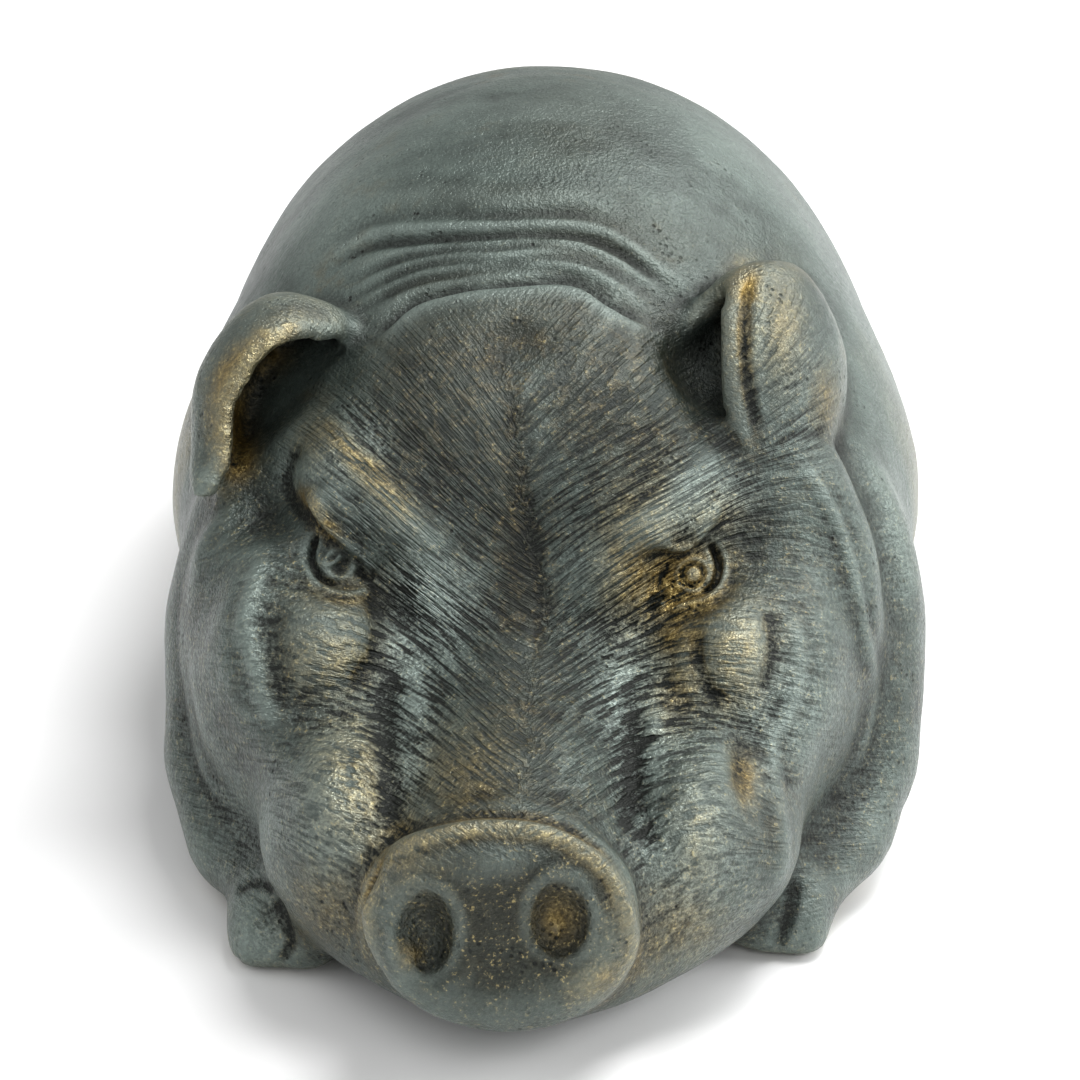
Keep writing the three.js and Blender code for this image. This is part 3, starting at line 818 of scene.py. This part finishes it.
def noise(at, scale, detail=2.0, rough=0.55, distort=0.0):
    return add("ShaderNodeTexNoise", None, {
        "Vector": at, "Scale": scale, "Detail": detail, "Roughness": rough,
        "Distortion": distort})("Fac")


def drawn_out(at, stretch, turned=(0.0, 0.0, 0.0)):
    """Places scaled so that a round mark there comes out long and narrow."""
    return add("ShaderNodeMapping", {"vector_type": "TEXTURE"}, {
        "Vector": at, "Rotation": turned, "Scale": stretch})(0)


front_share, side_share, head = columns_of("combed")
gold_mask, pale_and_highlight_mask, olive_mask = columns_of("patina_and_highlights")
fine_hollow, broad_hollow, grainy = columns_of("hollow")

# Hair strokes: long narrow pulls of a small tool, side by side, with finer scratches between
PULL = (4.6, 0.95, 1.2)
SCRATCH = (2.6, 0.5, 0.9)
CUT_PATCH = (9.0, 7.0, 4.0)
SIDE_PULL = (0.0012, 0.0045, 0.0007)
SIDE_TURN = (math.radians(28), 0.0, 0.0)
BODY_GRAIN = (0.010, 0.0035, 0.006)


def pulls(at):
    """Carved strokes: low along a groove, high along the ridge between two."""
    return noise(at, 1.0, 1.6, 0.5, 0.15)


pulled = pulls(drawn_out(lay_at, PULL))
ridges = pulled.stepped(0.4, 0.54)
cut = (1 - pulled.stepped(0.38, 0.5)) * front_share
scratches = noise(drawn_out(lay_at, SCRATCH), 1.0, 1.0, 0.5, 0.2).stepped(0.38, 0.56)
depth_of_cut = noise(drawn_out(lay_at, CUT_PATCH), 1.0, 2.0).stepped(0.25, 0.6)
front_height = ridges * 0.72 + scratches * 0.28
side_height = pulls(drawn_out(place, SIDE_PULL, SIDE_TURN)).stepped(0.4, 0.54)
front_depth = front_share * (0.45 + 0.55 * depth_of_cut)
side_depth = side_share * 0.5
hair = front_height * front_depth + side_height * side_depth
body_grain = noise(drawn_out(place, BODY_GRAIN), 1.0, 5.0, 0.65).stepped(0.3, 0.7)
streaks = body_grain * (1 - (front_depth + side_depth).clamped())
height = hair + streaks * 0.35

# Pits and grains of the casting, under a millimetre
PITS_PER_METRE = 620.0
GRITS_PER_METRE = 1250.0

pit_cells = {"Vector": place, "Scale": PITS_PER_METRE, "Randomness": 1.0}
pit_field = add("ShaderNodeTexVoronoi", None, pit_cells)("Distance")
pitted = (noise(place, 140.0, 2.0).stepped(0.5, 0.72) + grainy * 0.5).clamped()
pits = (1 - pit_field.stepped(0.1, 0.34)) * pitted
grit = noise(place, GRITS_PER_METRE, 2.0, 0.7)

# Colours of the patina, with painted highlights and glints, from the ground up
SLATE = (0.036, 0.048, 0.042, 1)
GREEN_GREY = (0.092, 0.120, 0.106, 1)
SEA_GREEN = (0.26, 0.32, 0.29, 1)
OLIVE = (0.021, 0.023, 0.013, 1)
UMBER = (0.100, 0.076, 0.034, 1)
RUBBED_GOLD = (0.23, 0.145, 0.030, 1)
PALE_GOLD = (0.54, 0.43, 0.18, 1)
SOOT = (0.005, 0.007, 0.005, 1)

clouds = noise(place, 34.0, 5.0, 0.65)
patches = noise(place, 110.0, 3.0, 0.65)
mottle = noise(place, 420.0, 3.0, 0.7)
grain = grit.stepped(0.38, 0.62)
greener = clouds.stepped(0.4, 0.58) * 0.65 + patches.stepped(0.35, 0.65) * 0.3 + streaks * 0.3
ground = mixed((greener - 0.05).clamped(), SLATE, GREEN_GREY)
ground = mixed((olive_mask * (0.8 + 0.5 * patches.stepped(0.3, 0.6))).clamped(), ground, OLIVE)
brown = mottle.stepped(0.46, 0.62) * (0.2 + olive_mask * 0.5) * head * (1 - grainy * 0.85)
brown = brown + (clouds.stepped(0.54, 0.68) * patches.stepped(0.45, 0.65)) * (1 - head) * 0.6
ground = mixed(brown.clamped(), ground, UMBER)
# Painted highlight: the ground is lifted towards sea green on the pale marks, for light on the
# nose sides, brows and cheeks
ground = mixed((pale_and_highlight_mask * 0.45).clamped(), ground, SEA_GREEN)
raised = (height * 0.35 + patches * 0.5 + mottle * 0.8 - 0.6).clamped()
# Pale patina on raised strokes, with painted highlights on the marked places
pale_and_highlight = (pale_and_highlight_mask * 1.5 + 0.15) * (raised + pale_and_highlight_mask * 0.35) * (0.5 + 0.7 * grain) * (1 - cut)
lit = mixed(pale_and_highlight.clamped(), ground, SEA_GREEN)
rub = (gold_mask * (0.8 + 0.7 * raised + 1.0 * (mottle - 0.5))).clamped()
rubbed_and_lit = mixed(rub, lit, mixed((raised * (0.4 + grain)).clamped(), RUBBED_GOLD, PALE_GOLD))
# Painted glints: small pale gold specks on the grit, most on the head, the snout and the rubbed
# gold
painted_glint = grit.stepped(0.58, 0.7) * mottle.stepped(0.4, 0.6)
painted_glint = painted_glint * (head * 0.3 + grainy * 0.3 + gold_mask * 0.5 + 0.05)
rubbed_and_lit = mixed(painted_glint.clamped(), rubbed_and_lit, PALE_GOLD)
deep = (fine_hollow * 0.7).clamped() + broad_hollow.stepped(0.5, 2.0) * 0.25 + pits * 0.8
deep = deep + cut * (0.52 + 0.3 * patches) + (1 - scratches) * 0.2 * front_share
deep = (deep + (1 - grain) * 0.4 * (head * 0.6 + 0.4)).clamped()
coloured = mixed(deep, rubbed_and_lit, SOOT)
edge = ((0 - fine_hollow) * 0.35).clamped()
coloured = mixed(edge, coloured, SEA_GREEN)

roughness = 0.33 - 0.04 * gold_mask - 0.05 * pale_and_highlight_mask + 0.3 * deep + 0.25 * (mottle - 0.5)
bump_height = hair * 0.6 + streaks * 0.1 - pits * 0.35
bump_height = bump_height + grit * (0.42 + 0.2 * grainy) + mottle * 0.35
relief_height = {"Strength": 1.0, "Distance": 1.0 * MM, "Height": bump_height}
bump = add("ShaderNodeBump", None, relief_height)("Normal")
metal = (0.4 + 0.35 * gold_mask).clamped()
surface = add("ShaderNodeBsdfPrincipled", None, {
    "Base Color": coloured, "Roughness": roughness.clamped(), "Metallic": metal,
    "Normal": bump})("BSDF")
add("ShaderNodeOutputMaterial", None, {"Surface": surface})
pig.data.materials.append(patina_and_highlights)

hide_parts("pig")
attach(pig, "root")

# Studio. A white table that runs back without an edge. A soft light from behind on the pig's left
# throws the shadow to its right, another hangs overhead, and weaker ones fill from the sides and
# the front.
TABLE_SIDE = 8
WHITE_PAPER = (0.92, 0.92, 0.92, 1)
LIGHTS = {  # place and aim in metres, power in watts, width in metres
    "back_light": ((0.75, 0.6, 0.95), (0, 0.03, 0.05), 10, 0.8),
    "top_light": ((0.3, 0.0, 1.2), (0, -0.05, 0.05), 10.5, 0.45),
    "right_light": ((-0.8, -0.3, 0.9), (0, -0.05, 0.05), 5, 1.4),
    "left_light": ((1.0, -0.1, 0.5), (0, -0.05, 0.05), 6, 0.5),
    "front_light": ((0.35, -1.0, 0.7), (0, -0.1, 0.05), 3, 0.6),
}
SKY_STRENGTH = 0.35

bpy.ops.object.select_all(action="DESELECT")
bpy.ops.mesh.primitive_plane_add(size=TABLE_SIDE, location=(0, 0, 0))
table = bpy.context.object
table.name = "table_top"
paper = bpy.data.materials.new("white_paper")
paper.use_nodes = True
paper.node_tree.nodes["Principled BSDF"].inputs["Base Color"].default_value = WHITE_PAPER
paper.node_tree.nodes["Principled BSDF"].inputs["Roughness"].default_value = 0.8
table.data.materials.append(paper)

for name, (stand, aim, power, width) in LIGHTS.items():
    bpy.ops.object.light_add(type="AREA", location=stand)
    lamp = bpy.context.object
    lamp.name = name
    lamp.data.energy = power
    lamp.data.size = width
    lamp.rotation_euler = (Vector(aim) - Vector(stand)).to_track_quat("-Z", "Y").to_euler()

sky = bpy.data.worlds.new("studio")
bpy.context.scene.world = sky
sky.use_nodes = True
sky.node_tree.nodes["Background"].inputs["Color"].default_value = (1, 1, 1, 1)
sky.node_tree.nodes["Background"].inputs["Strength"].default_value = SKY_STRENGTH

lens = bpy.data.cameras.new("front_camera")
lens.sensor_width = 36
lens.lens = lens.sensor_width / (2 * math.tan(VIEW_HALF))
camera = bpy.data.objects.new("front_camera", lens)
camera.location = VIEW_PLACE
camera.rotation_euler = (math.pi / 2 - VIEW_TILT, 0, 0)
bpy.context.collection.objects.link(camera)
bpy.context.scene.camera = camera
bpy.context.scene.view_settings.view_transform = "Standard"
